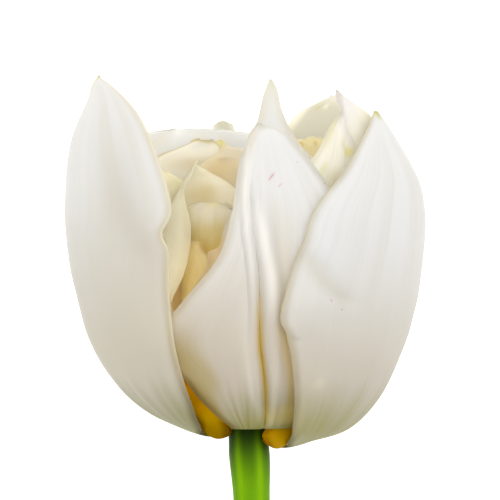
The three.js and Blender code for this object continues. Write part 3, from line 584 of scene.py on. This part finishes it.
def build_stem(material):
    """Ribbed stem and receptacle in one, closed flat at the top and with a dished cut face at the end."""
    y = np.concatenate([SEAT_Y + np.linspace(COLUMN_TOP, -FINE_REACH, FINE_RINGS)[:-1],
                        np.linspace(SEAT_Y - FINE_REACH, STEM_END_Y, LONG_RINGS)])
    h = y - SEAT_Y
    centre = stem_centre(y)
    along = unit(np.gradient(centre, axis=0))
    side = unit(np.cross(along, [1.0, 0, 0]))
    up = unit(np.cross(along, side))
    a = np.linspace(0, 2 * math.pi, STEM_SIDES, endpoint=False)
    rng = np.random.default_rng(STEM_SEED)
    ribs = np.zeros((len(y), STEM_SIDES))
    for _ in range(STEM_RIBS):
        n = rng.integers(6, 19)
        wander = rng.uniform(-0.004, 0.004) * h[:, None]
        ribs += rng.uniform(0.3, 1) * np.cos(n * a + rng.uniform(0, PHASE) + wander)
    ribs *= RIB_DEPTH * smooth((-h - 2) / 8)[:, None]
    band = np.zeros_like(ribs)
    for at, wide in STEM_BANDS:
        off = np.degrees(a) - at + 4 * np.sin(h / 23 + at)[:, None]
        off = (off + 180) % 360 - 180
        band += np.exp(-(off / wide) ** 2)
    lump = (0.06 * np.sin(h * 0.11 + 1.0) + 0.04 * np.sin(h * 0.29)) * smooth((-h - 15) / 20)
    r = (stem_radius(h) - STEM_INSET + lump)[:, None] + ribs
    ring = (centre[:, None] + side[:, None] * (r * np.cos(a))[..., None]
            + up[:, None] * (r * np.sin(a))[..., None])

    def noise_place(f, at):
        flat = [np.cos(a) * FIELD_RADIUS * f, at + 0 * a, np.sin(a) * FIELD_RADIUS * f]
        return np.stack(np.broadcast_arrays(*flat), -1).reshape(-1, 3)

    points, faces, total = [ring.reshape(-1, 3)], [], ring.size // 3
    fields = {"skin": [noise_place(1, h[:, None])], "cut": [np.zeros(total)],
              "down": [np.repeat(-h, STEM_SIDES)], "band": [band.ravel()]}

    def add(new_points, place, cut, end):
        count = len(new_points)
        points.append(new_points)
        for key, values in (("skin", place), ("cut", np.full(count, cut)), ("down", np.full(count, -h[end])),
                            ("band", np.zeros(count))):
            fields[key].append(values)
        return count

    k = np.arange(STEM_SIDES)
    k1 = (k + 1) % STEM_SIDES
    for base in range(0, total - STEM_SIDES, STEM_SIDES):
        faces += np.stack([base + k, base + k1, base + STEM_SIDES + k1, base + STEM_SIDES + k], 1).tolist()
    last = len(y) - 1
    for end, dish in ((0, 0.0), (last, CUT_DISH)):
        base = end * STEM_SIDES
        for step in range(1, CAP_RINGS + 1):
            f = 1 - step / (CAP_RINGS + 1)
            smaller = centre[end] + (ring[end] - centre[end]) * f - along[end] * dish * (1 - f) ** 0.7
            count = add(smaller, noise_place(f, h[end]), f if end else 0.0, end)
            near, far = [base + k, base + k1], [total + k1, total + k]
            quads = near + far if end else [near[0], far[1], far[0], near[1]]
            faces += np.stack(quads, 1).tolist()
            base = total
            total += count
        add((centre[end] - along[end] * dish)[None], np.array([[0, h[end], 0]]), 0.02 if end else 0.0, end)
        for i, i1 in zip(k.tolist(), k1.tolist()):
            faces.append([base + i, base + i1, total] if end else [base + i, total, base + i1])
        total += 1
    P = np.concatenate(points)
    P[:, 2] = np.maximum(P[:, 2], 0)
    fields = {key: np.concatenate(values) for key, values in fields.items()}
    obj = mesh_object("stem_stalk", P, faces, fields, material)
    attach(obj, "root")
    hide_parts("stem")
    return obj


def tube(points, radii, sides, squash=1.0, lobes=None):
    """Rings round a path, closed at both ends with fans: (points, faces). lobes scales the radius by angle."""
    points = np.asarray(points, float)
    t = unit(np.gradient(points, axis=0))
    ref = np.array([0.0, 0, 1]) if abs(t[0][2]) < 0.9 else np.array([1.0, 0, 0])
    side = unit(np.cross(t, ref))
    up = np.cross(side, t)
    a = np.linspace(0, 2 * math.pi, sides, endpoint=False)
    r = np.asarray(radii, float)[:, None] * (1 if lobes is None else lobes(a))
    ring = (points[:, None] + side[:, None] * (r * np.cos(a))[..., None]
            + up[:, None] * (r * np.sin(a) * squash)[..., None])
    n = len(points)
    faces = []
    for j in range(n - 1):
        k, k1 = j * sides + np.arange(sides), j * sides + (np.arange(sides) + 1) % sides
        faces += np.stack([k, k + sides, k1 + sides, k1], 1).tolist()
    faces += [[i, (i + 1) % sides, n * sides] for i in range(sides)]
    last = (n - 1) * sides
    faces += [[last + (i + 1) % sides, last + i, n * sides + 1] for i in range(sides)]
    return np.concatenate([ring.reshape(-1, 3), points[:1], points[-1:]]), faces


def joined(pieces):
    """Several (points, faces) as one."""
    points, faces, base = [], [], 0
    for p, f in pieces:
        points.append(p)
        faces += [[i + base for i in face] for face in f]
        base += len(p)
    return np.concatenate(points), faces


HEART_FOOT = COLUMN_TOP + 0.35
PISTIL_TOP = 25.0
PISTIL_SIDES = 60
STAMENS = 6
FILAMENT = ((2.9, 0.5), (4.6, 4.5), (5.4, 8.4))      # its bend: distance from the axis, height over the foot
FILAMENT_RADII = 0.75, 0.42
ANTHER_START, ANTHER_HALF, ANTHER_RADIUS = 7.9, 4.3, 1.05


def build_pistil(material):
    """A round pistil with a foot and three lobes that open at its top."""
    foot, top = HEART_FOOT, PISTIL_TOP
    h = np.concatenate([[foot, foot + 0.6, foot + 1.3], np.linspace(foot + 2, top - 3, 30),
                        np.linspace(top - 2.5, top + 1.4, 18)])
    radius = np.interp(h, *zip(
        (foot, 3.6), (foot + 1.3, 3.6), (foot + 2.0, 2.3), (foot + 5, 2.65), (foot + 10, 2.5),
        (top - 2.5, 1.95), (top - 1, 2.3), (top + 0.4, 2.75), (top + 1.0, 2.5), (top + 1.4, 1.4)))
    lobed = np.interp(h, *zip(
        (foot + 1, 0), (foot + 5, 0.08), (top - 3, 0.12), (top - 1, 0.3), (top + 0.4, 0.4), (top + 1.4, 0.35)))
    axis = np.stack([0 * h, SEAT_Y + h, AXIS_Z + 0 * h], -1)
    points, faces = tube(axis, radius, PISTIL_SIDES)
    ring = points[:len(h) * PISTIL_SIDES].reshape(len(h), PISTIL_SIDES, 3)
    off = ring - axis[:, None]
    angle = np.arctan2(off[..., 0], off[..., 2])
    ring[:] = axis[:, None] + off * (1 + lobed[:, None] * np.cos(3 * angle))[..., None]
    return mesh_object("pistil_body", points, faces, {}, material)


def build_heart(pistil_material, filament_material, anther_material):
    """The pistil with its six stamens, in three pieces."""
    pistil = build_pistil(pistil_material)
    stalks, pods = [], []
    for k in range(STAMENS):
        a = 2 * math.pi * (k + 0.5) / STAMENS

        def at(r, over_foot):
            return np.array([r * math.sin(a), SEAT_Y + (HEART_FOOT + over_foot), AXIS_Z + r * math.cos(a)])

        p0, p1, p2 = (at(*place) for place in FILAMENT)
        s = np.linspace(0, 1, 14)[:, None]
        path = p0 * (1 - s) ** 2 + p1 * 2 * s * (1 - s) + p2 * s ** 2
        stalks.append(tube(path, np.linspace(*FILAMENT_RADII, len(s)), 14))
        s = np.linspace(-1, 1, 26)
        middle = np.stack([at(5.5 + 0.25 * x * x, ANTHER_START + ANTHER_HALF * (x + 1)) for x in s])
        width = ANTHER_RADIUS * np.sqrt(np.maximum(1 - np.abs(s) ** 3, 0.01))
        pods.append(tube(middle, width, 20, 0.8, lambda q: 1 + 0.13 * np.cos(4 * q)[None, :]))
    filaments = mesh_object("stamen_filaments", *joined(stalks), {}, filament_material)
    anthers = mesh_object("stamen_anthers", *joined(pods), {}, anther_material)
    for obj in (pistil, filaments, anthers):
        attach(obj, "root")
        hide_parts("pistil_and_stamens")


# ---- the flower ----

# outer_low and base are partly the petals' olive base and partly painted shade of the lower blade
WHITE = dict(
    outer=srgb(231, 232, 234), outer_low=srgb(216, 212, 201), inner=srgb(246, 245, 240),
    inner_low=srgb(248, 240, 212), base=srgb(171, 165, 110), tip=srgb(206, 208, 110), tip_run=2.6,
)
# The golden lower tints are partly the inner petals' yellow base and partly painted shade deep in the bloom
CREAM = dict(
    outer=srgb(252, 250, 240), outer_low=srgb(252, 246, 218), inner=srgb(250, 247, 238),
    inner_low=srgb(254, 247, 224), base=srgb(246, 204, 96), tip=srgb(246, 244, 214), tip_run=1.5,
)
PINK = srgb(206, 132, 140)
ASH = srgb(186, 182, 166)
LIME = srgb(228, 220, 136)
BUFF = srgb(226, 218, 190)
DUSK = srgb(212, 196, 154)

# Lines of the front petal's deep groove and of the ridges beside it: [v, degrees from the midrib]
GROOVE = [[0.2, 11.5], [0.258, 9.2], [0.312, 6.4], [0.356, 4.4], [0.394, 2.4], [0.427, 1.7], [0.458, 1.5],
          [0.49, 1.2], [0.519, 0.8], [0.548, -0.5], [0.575, -1.5], [0.608, -2.4], [0.658, -3.0], [0.7, -3.5]]
LEFT_RIDGE = [[0.2, 6], [0.3, 3], [0.4, -0.6], [0.469, -0.7], [0.49, -0.9], [0.519, -1.5], [0.548, -2.5],
              [0.575, -3.3], [0.608, -3.9], [0.658, -4.3], [0.715, -4.1], [0.76, -3.9], [0.82, -2.8],
              [0.87, -1.2], [1, 0]]
RIGHT_RIDGE = [[0.2, 15], [0.3, 11], [0.4, 7.5], [0.44, 6.2], [0.475, 6], [0.504, 5.4], [0.533, 3.9],
               [0.56, 2.4], [0.6, 0.3], [0.66, -1.3], [0.74, -3]]
# Creases and swells run along a blade: at is a place or a line as above, wide is in degrees, deep the height,
# from and to the stretch of v, and crease_shading_and_tint how far the crease tint shows there: painted shade
# along grooves, hollows and dents (in the front petal's groove partly its own golden tint), and below 0 a near
# white painted highlight on ridges and on strips that lie in shade.
CREASES = {
    "petal_front": [
        {"at": LEFT_RIDGE, "wide": 1.6, "deep": 0.6, "from": 0.2, "to": 1},
        {"at": LEFT_RIDGE, "wide": 1.0, "deep": 0, "from": 0.44, "to": 0.95, "crease_shading_and_tint": -0.4},
        {"at": [[0.46, -2.4], [0.49, -2.9], [0.519, -3.5], [0.548, -4.3], [0.567, -5.4]], "wide": 1.1,
         "deep": -0.3, "from": 0.42, "to": 0.62, "ramp": 0.06},
        {"at": GROOVE, "wide": 1.5, "deep": -0.75, "from": 0.1, "to": 0.76},
        {"at": GROOVE, "wide": 1.7, "deep": 0, "from": 0.12, "to": 0.53, "crease_shading_and_tint": 1.3},
        {"at": RIGHT_RIDGE, "wide": 2.8, "deep": 0.9, "from": 0.16, "to": 0.8},
        {"at": RIGHT_RIDGE, "wide": 2.0, "deep": 0, "from": 0.43, "to": 0.64, "ramp": 0.08, "crease_shading_and_tint": -0.7},
        {"at": [[0.4, 12], [0.5, 10.5], [0.55, 9], [0.65, 6.5]], "wide": 4.5, "deep": -1.2, "from": 0.4,
         "to": 0.68, "crease_shading_and_tint": 0.12},
        {"at": [[0.2, 32], [0.273, 22.5], [0.327, 18], [0.365, 15], [0.398, 12.2], [0.431, 10.5]],
         "wide": 3, "deep": 0, "from": 0.02, "to": 0.52, "ramp": 0.12, "crease_shading_and_tint": 0.5},
        {"at": [[0.273, 15.5], [0.327, 13], [0.365, 10], [0.4, 8]], "wide": 4, "deep": 0, "from": 0.16,
         "to": 0.46, "crease_shading_and_tint": -0.3},
        {"at": [[0.21, -17.5], [0.25, -23], [0.27, -26], [0.295, -29], [0.32, -30], [0.43, -32]], "wide": 4,
         "deep": 0, "from": 0.12, "to": 0.44, "crease_shading_and_tint": 0.6},
        {"at": [[0.258, 4.5], [0.312, 0.3], [0.356, -1.2], [0.394, -2.4], [0.458, -3.2]], "wide": 2.5,
         "deep": 0, "from": 0.2, "to": 0.5, "crease_shading_and_tint": -0.35},
    ],
    "petal_outer_left": [
        {"at": [[0.4, 50], [0.5, 49], [0.58, 46], [0.68, 41], [0.76, 37]], "wide": 9, "deep": -1.0,
         "from": 0.36, "to": 0.86, "ramp": 0.2, "crease_shading_and_tint": 0.6},
        {"at": 28, "wide": 9, "deep": 0.3, "from": 0.15, "to": 0.95},
        {"at": -7, "wide": 30, "deep": 0.55, "from": 0.18, "to": 0.45, "ramp": 0.12},
        {"at": 0, "wide": 30, "deep": -0.65, "from": 0.8, "to": 0.95, "ramp": 0.07},
        {"at": [[0.26, 43], [0.32, 47], [0.36, 49.4], [0.42, 51.5]], "wide": 4, "deep": 0.15, "from": 0.2,
         "to": 0.5},
    ],
    "petal_outer_right": [
        {"at": [[0.517, -35], [0.54, -40.8], [0.558, -45.2], [0.575, -48.8], [0.588, -52.4]], "wide": 4.5,
         "deep": -0.9, "from": 0.48, "to": 0.62, "ramp": 0.05, "crease_shading_and_tint": 0.5},
        {"at": -50, "wide": 9, "deep": 0.8, "from": 0.4, "to": 0.57, "ramp": 0.07},
        {"at": -12, "wide": 12, "deep": 0.25, "from": 0.1, "to": 0.9},
        {"at": 23, "wide": 30, "deep": 0.5, "from": 0.14, "to": 0.4, "ramp": 0.12},
    ],
    "petal_inner_left": [{"at": 6, "wide": 13, "deep": 0.8, "from": 0, "to": 0.42}],
    "petal_inner_right": [
        {"at": [[0.6, 6], [0.66, 5.6], [0.681, 4.1], [0.713, 0.3], [0.744, -1.5], [0.812, -2], [1, -1]],
         "wide": 2.4, "deep": 0.65, "from": 0.55, "to": 1, "ramp": 0.2, "crease_shading_and_tint": 0.45},
        {"at": 5, "wide": 12, "deep": 0.7, "from": 0.0, "to": 0.24, "ramp": 0.06},
    ],
}

# Each petal's look, its mesh lines across and along (fine), its relief (swell, ruffle), its nicks, and what
# petal_material is told beside its look. A nick moves a margin: (side, v, width in v, degrees outward).
STYLE = {
    "petal_outer_left": dict(
        look=WHITE, fine=(161, 161), swell=0.16, ruffle=0.12, tip=srgb(212, 216, 118), tip_run=4.2,
        outer_low=srgb(213, 208, 193), base=srgb(156, 152, 84), crease_tint_and_shade=srgb(208, 202, 190),
        hem=(srgb(250, 246, 226), 0.7, 0.6)),
    "petal_outer_right": dict(
        look=WHITE, fine=(161, 151), swell=0.16, ruffle=0.12, spread=(3.0, 7.2), outer=srgb(232, 233, 235),
        fall=(0.62, 0.1), shine=0.15, base=srgb(172, 166, 106), outer_low=srgb(206, 199, 186),
        crease_tint_and_shade=srgb(218, 213, 198), hem=(BUFF, 0.7, 0.6),
        nicks=[("left", 0.43, 0.02, -0.9), ("left", 0.6, 0.02, -0.8)],
        spots_and_painted_light=[(-0.95, 0.25, 0, (3.0, 6.0), srgb(222, 214, 180), 0.5),
               (-0.71, 0.515, 40, (0.6, 0.13), PINK, 0.8), (-0.62, 0.49, 0, (0.25, 0.22), PINK, 0.9),
               # The grey spot is painted shade standing for a small dent.
               (-0.94, 0.413, 8, (1.6, 0.7), ASH, 0.4)]),
    "petal_outer_back": dict(
        look=WHITE, fine=(101, 101), tip=srgb(202, 200, 182), tip_run=3.0, inner=srgb(214, 212, 204),
        inner_low=srgb(216, 212, 196)),
    "petal_front": dict(
        look=WHITE, fine=(221, 181), swell=0.06, ruffle=0.05, crease_tint_and_shade=srgb(216, 186, 76), tip=srgb(224, 226, 222),
        outer_low=srgb(208, 199, 184), fall=(0.7, 0.14), base=srgb(148, 142, 0),
        hem=(srgb(236, 234, 222), 0.6, 0.3), spread=(1.17, 6.0),
        nicks=[("left", 0.27, 0.09, -3.1), ("left", 0.35, 0.03, -2.5), ("left", 0.2, 0.03, -2.5)],
        # The two ochre spots low on the left are partly the petal's ochre base and partly painted shade beside
        # the outer left petal; the yellow spot low on the right is painted light on a strip that lies in the
        # outer right petal's shadow. The pink ones are its own specks.
        spots_and_painted_light=[(-0.86, 0.295, 0, (3.0, 5.0), srgb(172, 150, 78), 0.85),
               (-0.68, 0.36, 0, (3.6, 5.5), srgb(190, 172, 108), 0.7),
               (0.45, 0.25, 0, (5.0, 3.4), srgb(232, 214, 130), 0.42),
               (0.205, 0.7, -48, (1.3, 0.17), PINK, 0.75), (0.205, 0.7, -48, (1.7, 0.6), PINK, 0.12),
               (0.3, 0.675, -40, (0.8, 0.14), PINK, 0.5), (0.71, 0.744, -35, (0.4, 0.12), ASH, 0.8),
               (0.97, 0.681, 0, (0.35, 0.14), PINK, 0.6)]),
    "petal_back_left": dict(
        look=WHITE, fine=(91, 91), swell=0.15, ruffle=0.12, tip=srgb(236, 238, 242), inner=srgb(244, 245, 247)),
    "petal_back_right": dict(
        look=WHITE, fine=(91, 91), swell=0.15, ruffle=0.12, tip=srgb(226, 224, 218), spread=(0.8, 3.7),
        # Its darker inner tints are painted shade inside its hollow; three pale spots are painted light where
        # its margin rolls over, and the yellow one is its own.
        inner=srgb(222, 219, 202), inner_low=srgb(224, 218, 194), stray=0.05,
        spots_and_painted_light=[(0.95, 0.8, 0, (2.0, 4.0), srgb(246, 244, 232), 0.9),
               (0.24, 0.873, 0, (1.5, 1.4), srgb(248, 242, 226), 0.9),
               (0.0, 0.94, 0, (2.4, 0.9), srgb(236, 236, 234), 0.6),
               (0.52, 0.86, 0, (0.6, 1.2), srgb(220, 208, 120), 0.7)]),
    "petal_inner_left": dict(
        look=WHITE, fine=(71, 91), levels=[(srgb(254, 204, 0), 0.36, 0.2)], foot=srgb(164, 126, 0), shine=0.0,
        sheen=0.0, nicks=[("left", 0.2, 0.08, 7)]),
    "petal_inner_right": dict(
        look=WHITE, fine=(121, 131), levels=[(srgb(255, 206, 0), 0.2, 0.06)], foot=srgb(206, 162, 0),
        shine=0.02, sheen=0.0, inner=srgb(248, 247, 240), outer=srgb(244, 242, 232), tip=srgb(230, 228, 233),
        tip_run=9.0, crease_tint_and_shade=srgb(218, 214, 218), spread=(1.2, 7.0), hem=(srgb(240, 238, 226), 0.6, 0.2),
        nicks=[("left", 0.15, 0.06, 6), ("right", 0.08, 0.045, 8)],
        spots_and_painted_light=[(-0.85, 0.74, 0, (4.0, 6.0), srgb(232, 228, 206), 0.8), (0.03, 0.668, 0, (1.6, 1.6), LIME, 0.65),
               (-0.1, 0.69, 0, (1.2, 2.0), BUFF, 0.5), (-0.57, 0.621, 0, (1.3, 1.6), srgb(222, 226, 176), 0.5),
               (-0.3, 0.6, 0, (3.0, 2.4), BUFF, 0.6)]),
    "petal_inner_front": dict(
        look=WHITE, fine=(91, 101), tip_run=4.0, tip=srgb(222, 225, 214), outer=srgb(219, 220, 222),
        levels=[(srgb(232, 212, 172), 0.66, 0.56)], hem=(srgb(230, 230, 224), 0.4, 0.3)),
    "petal_inner_back_left": dict(
        # Its olive-tan hem is painted shade along its rolled rim, its tan spot painted shade below the rolled
        # lobe, and its near-white spot a painted highlight on that lobe.
        look=CREAM, fine=(81, 101), spread=(0.9, 4.3), hem=(srgb(202, 192, 156), 0.9, 0.8),
        tip=srgb(208, 198, 160),
        spots_and_painted_light=[(-0.25, 0.745, 0, (9.0, 1.8), srgb(232, 222, 194), 0.6),
               (-0.1, 0.86, 0, (6.5, 2.6), srgb(238, 238, 234), 0.9)]),
    "petal_inner_back_right": dict(look=CREAM, fine=(81, 91), swell=0.15, ruffle=0.12),
    "petal_inner_back": dict(
        look=CREAM, fine=(71, 81), inner=srgb(255, 253, 230), inner_low=srgb(255, 249, 212)),
    "petal_heart_back": dict(
        look=CREAM, fine=(71, 81), ruffle=0.15, tip=srgb(228, 222, 150), tip_run=2.4,
        inner_low=srgb(240, 226, 190), inner=srgb(236, 227, 208), spread=(0.8, 4.0),
        hem=(srgb(232, 226, 206), 0.7, 0.4),
        spots_and_painted_light=[(0.3, 0.665, 0, (6.4, 3.6), srgb(244, 218, 152), 0.45), (0.2, 0.72, 0, (4.0, 1.6), DUSK, 0.5)]),
    "petal_heart_scroll": dict(
        # Its outer tints, no darker low down, are painted light on the face that lies in the outer left petal's
        # shadow; its spots are painted light and painted shade across its curled face, and the golden one low
        # down is partly its yellow base and partly painted shade.
        look=CREAM, fine=(81, 91), outer=srgb(250, 250, 238), outer_low=srgb(251, 253, 240), glow=0.55,
        spread=(0.6, 2.5), inner=srgb(250, 247, 236), inner_low=srgb(254, 244, 208),
        spots_and_painted_light=[(-0.9, 0.845, 0, (2.6, 1.3), srgb(244, 238, 226), 0.7),
               (-0.5, 0.385, 0, (3.4, 3.4), srgb(240, 204, 128), 0.8),
               (-0.6, 0.69, 0, (2.4, 2.8), srgb(232, 220, 180), 0.7),
               (-0.9, 0.69, 0, (1.8, 3.2), srgb(255, 252, 242), 0.9)]),
    "petal_heart_right": dict(
        look=CREAM, fine=(71, 81), inner=srgb(250, 238, 192), inner_low=srgb(250, 232, 164), spread=(0.75, 2.5),
        hem=(srgb(240, 230, 190), 0.5, 0.3),
        spots_and_painted_light=[(0.57, 0.9, 0, (2.0, 1.2), srgb(250, 242, 210), 0.8),
               (0.7, 0.8, 0, (1.2, 1.2), srgb(228, 208, 96), 0.7),
               (0.13, 0.81, 0, (1.2, 1.2), srgb(228, 208, 110), 0.6)]),
    "petal_heart_front": dict(
        look=CREAM, fine=(61, 81), outer=srgb(238, 226, 188), outer_low=srgb(244, 216, 124),
        hem=(srgb(206, 184, 124), 0.6, 0.6)),
    "petal_heart_left": dict(
        look=CREAM, fine=(91, 91), outer=srgb(226, 222, 208), stray=0.05, hem=(srgb(222, 210, 168), 0.4, 0.5),
        # Its two golden bands below the lip are partly its yellow base and partly painted shade deep in the
        # bloom.
        levels=[(srgb(222, 206, 150), 0.68, 0.615), (srgb(218, 192, 112), 0.62, 0.56)]),
    "petal_heart_core": dict(look=CREAM, fine=(61, 71)),
}
SLOTS = {"outer": "petal_outer", "front": "petal_outer", "back": "petal_inner", "inner": "petal_inner",
         "heart": "petal_heart"}

for seed, petal in enumerate(PETALS, 1):
    style = dict(STYLE[petal["name"]])
    look = style.pop("look")
    petal["seed"] = seed
    petal["relief"] = make_relief(seed, style.pop("swell", SWELL), style.pop("ruffle", RUFFLE))
    petal["fine"] = style.pop("fine")
    petal["nicks"] = style.pop("nicks", [])
    petal["creases"] = CREASES.get(petal["name"], [])
    petal["slot"] = SLOTS[petal["name"].split("_")[1]]
    build_petal(petal, petal_material(petal["name"] + "_skin", **{**look, **style}))

build_stem(stem_material())
build_heart(
    heart_material("pistil_skin", srgb(170, 184, 96), srgb(206, 206, 140), 2600, 0.5, 0.4),
    heart_material("filament_skin", srgb(222, 214, 150), srgb(236, 230, 190), 1800, 0.5, 0.2),
    heart_material("anther_skin", srgb(206, 176, 70), srgb(168, 128, 40), 5200, 0.8, 0.9),
)


# ---- floor, lights and camera ----

FLOOR_SIZE, FLOOR_GAP = 4, 0.0001                                        # m
FLOOR_GLOW = 0.6
SKY_STRENGTH = 0.65
SHOT_X, SHOT_H, SHOT_DISTANCE, SHOT_WIDTH = 0.37, 33.67, 620.0, 92.5     # mm
SENSOR = 36.0


def floor_material():
    g = Graph("floor_paper")
    where = g.put("ShaderNodeTexCoord").outputs["Object"]
    fleck = g.noise(where, 900.0, 3.0, 0.6)
    colour = g.mix(g.span(fleck, 0.3, 0.7), srgb(246, 246, 245), srgb(249, 249, 248))
    flat = g.put("ShaderNodeBsdfDiffuse", {"Color": colour, "Roughness": 0.5}).outputs[0]
    lit = g.put("ShaderNodeEmission", {"Color": (1, 1, 1, 1), "Strength": FLOOR_GLOW}).outputs[0]
    return g.finish(g.put("ShaderNodeAddShader", {0: flat, 1: lit}).outputs[0])


bpy.ops.mesh.primitive_plane_add(size=FLOOR_SIZE, location=(0, 0, -FLOOR_GAP))
floor = bpy.context.object
floor.name = "floor"
floor.data.materials.append(floor_material())


def add_lamp(name, kind, place, power, **settings):
    data = bpy.data.lights.new(name, kind)
    data.energy = power
    for key, value in settings.items():
        setattr(data, key, value)
    obj = bpy.data.objects.new(name, data)
    obj.location = place
    bpy.context.scene.collection.objects.link(obj)
    return obj


# Two soft lamps: name, place and target in metres, size, power
for name, place, target, size, power in (
    ("key", (0.04, 0.26, 1.2), (0, -0.01, 0.03), 0.8, 8.8),
    ("fill", (0.6, 0.0, 1.2), (0, -0.02, 0.03), 1.0, 2.6),
):
    lamp = add_lamp(name, "AREA", place, power, shape="DISK", size=size)
    lamp.rotation_euler = (Vector(target) - Vector(place)).to_track_quat("-Z", "Y").to_euler()

# Soft light inside the bloom, for what comes through its thin petals: name, (x, h, z) and radius in mm, power
for name, (x, h, z), radius, power in (
    ("glow_left", (-19.5, 28.0, 14.5), 2.0, 7.0e-4),
    ("glow_slit", (-14.0, 24.0, 0.5), 1.0, 5.0e-4),
    ("glow_back", (-21.0, 46.0, -7.0), 2.0, 8.0e-4),
    ("glow_claw", (-10.5, 9.0, 11.5), 1.5, 1.2e-4),
    ("glow_rim_low", (11.0, 3.5, 13.8), 0.6, 0.8e-4),
    ("glow_rim_high", (12.0, 10.5, 21.5), 0.6, 0.7e-4),
):
    place = (x * MM, (h + SEAT_Y) * MM, (z + AXIS_Z) * MM)
    lamp = add_lamp(name, "POINT", place, power, shadow_soft_size=radius * MM)
    lamp.visible_camera = False

world = bpy.data.worlds.new("studio")
bpy.context.scene.world = world
world.use_nodes = True
sky = world.node_tree.nodes["Background"]
sky.inputs["Color"].default_value = (1.0, 1.0, 1.0, 1)
sky.inputs["Strength"].default_value = SKY_STRENGTH

camera = bpy.data.cameras.new("camera")
camera.sensor_width = SENSOR
camera.lens = SENSOR * SHOT_DISTANCE / SHOT_WIDTH
camera.clip_start, camera.clip_end = 0.01, 10.0
eye = bpy.data.objects.new("camera", camera)
eye.location = (SHOT_X * MM, (SHOT_H + SEAT_Y) * MM, (AXIS_Z + SHOT_DISTANCE) * MM)
bpy.context.scene.collection.objects.link(eye)
bpy.context.scene.camera = eye
bpy.context.scene.view_settings.view_transform = "Standard"
bpy.context.scene.view_settings.look = "None"

bpy.context.view_layer.update()
